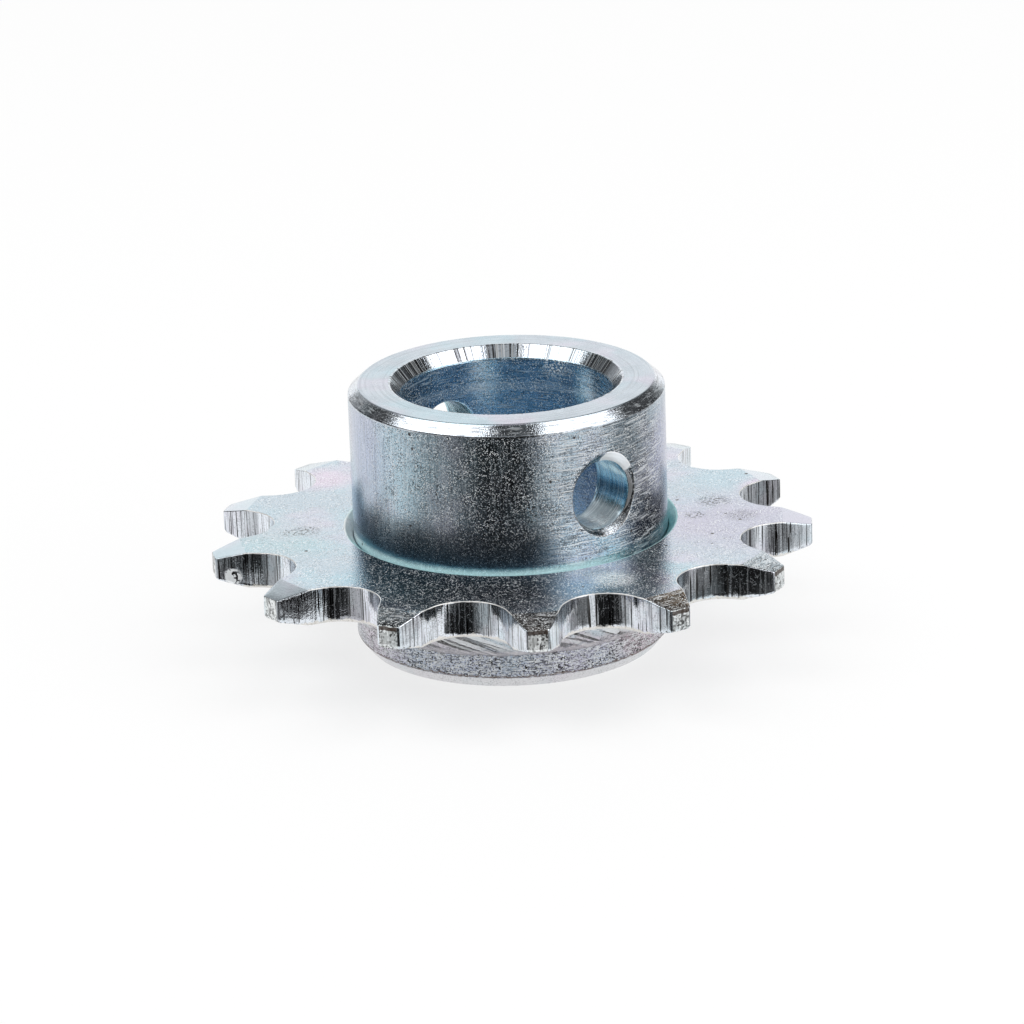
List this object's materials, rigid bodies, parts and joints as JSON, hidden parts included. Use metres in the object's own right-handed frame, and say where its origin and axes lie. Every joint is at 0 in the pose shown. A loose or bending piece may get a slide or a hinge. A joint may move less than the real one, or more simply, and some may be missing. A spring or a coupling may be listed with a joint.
{
  "type": "chain sprocket",
  "caption": "Small roller-chain sprocket: a bored tubular hub with a cross-hole, set through a thin toothed plate and welded underneath.",
  "frame": {"origin": "centre of the hub's lower end face, on the bore axis, where the part stands", "axes": "+Z along the bore axis from the welded side to the long side of the hub; the cross-hole runs along Y, with the mouth that the picture shows towards -Y"},
  "size_m": [0.057, 0.0572, 0.0257],
  "materials": {
    "hub": "turned steel, bright zinc plated with a pale blue passivation",
    "toothed_plate": "rolled sheet steel with cut tooth gaps, bright zinc plated with a pale blue passivation",
    "weld_bead": "rippled steel weld, bright zinc plated"
  },
  "bodies": {
    "root": {"hub": "hub", "toothed_plate": "toothed_plate", "weld_bead": "weld_bead"}
  },
  "joints": []
}
